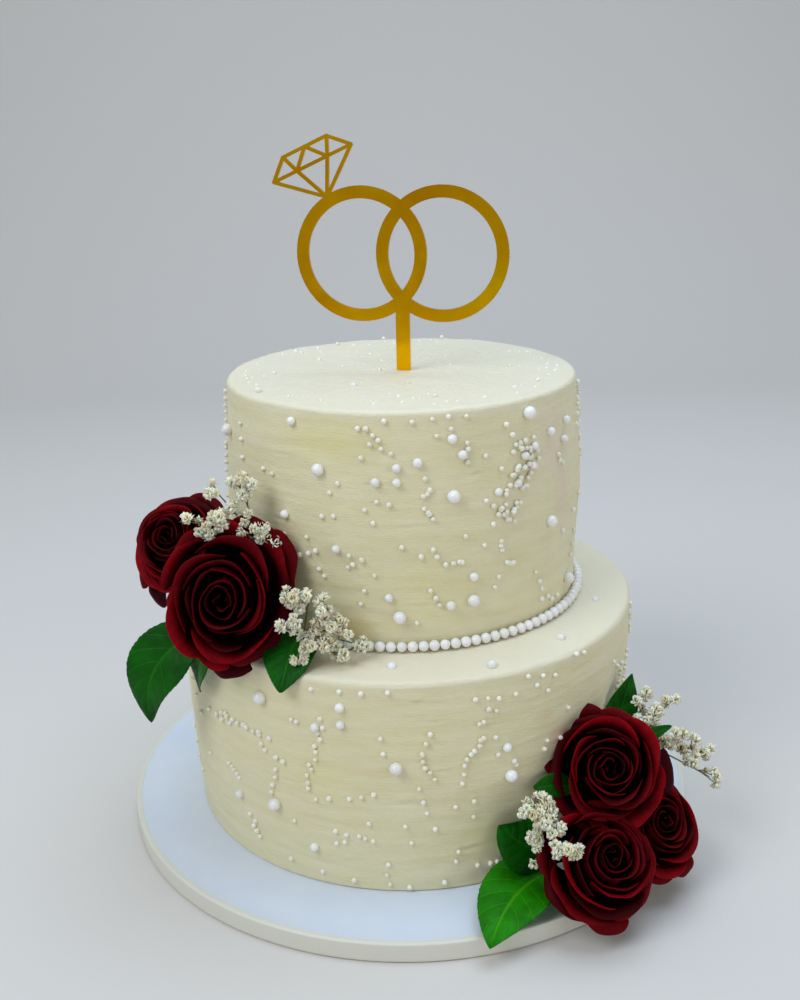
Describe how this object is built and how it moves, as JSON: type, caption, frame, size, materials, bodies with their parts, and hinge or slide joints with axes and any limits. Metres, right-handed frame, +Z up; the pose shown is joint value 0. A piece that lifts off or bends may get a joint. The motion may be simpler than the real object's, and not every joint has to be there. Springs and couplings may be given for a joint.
{
  "type": "tiered wedding cake",
  "caption": "Round two-tier buttercream wedding cake on a white cake board, with a pearl border, scattered sugar pearls, dark red roses, leaves, gypsophila and a gold interlocked-rings topper.",
  "frame": {"origin": "centre of the underside of the cake board", "axes": "+Z up through both tiers, front of the cake towards -Y, +X to the viewer's right"},
  "size_m": [0.2844, 0.2867, 0.3253],
  "materials": {
    "board_paper": "white embossed paper covering on a cake drum, satin",
    "buttercream": "ivory buttercream, scraper-smoothed with fine streaks and small nicks, satin",
    "sugar_pearl": "white sugar pearls with a soft pearly gloss",
    "gold_mirror": "gold mirror acrylic sheet with polished cut edges",
    "rose_petal": "dark red velvety fresh rose petals",
    "rose_leaf": "waxy green rose leaves with pale veins",
    "gypsophila_floret": "creamy white dried gypsophila florets on brown stems"
  },
  "bodies": {
    "root": {"cake_board": "board_paper", "bottom_tier": "buttercream", "top_tier": "buttercream", "pearl_border": "sugar_pearl", "cake_topper": "gold_mirror", "rose_left_front": "rose_petal", "rose_left_back": "rose_petal", "rose_right_top": "rose_petal", "rose_right_low": "rose_petal", "rose_right_side": "rose_petal", "leaf_left_big": "rose_leaf", "leaf_left_small": "rose_leaf", "leaf_left_low": "rose_leaf", "leaf_right_bright": "rose_leaf", "leaf_right_dark": "rose_leaf", "leaf_right_small": "rose_leaf", "leaf_right_top": "rose_leaf", "leaf_right_thin": "rose_leaf", "gypsophila_left_top": "gypsophila_floret", "gypsophila_left_side": "gypsophila_floret", "gypsophila_right_back": "gypsophila_floret", "gypsophila_right_front": "gypsophila_floret"}
  },
  "joints": []
}
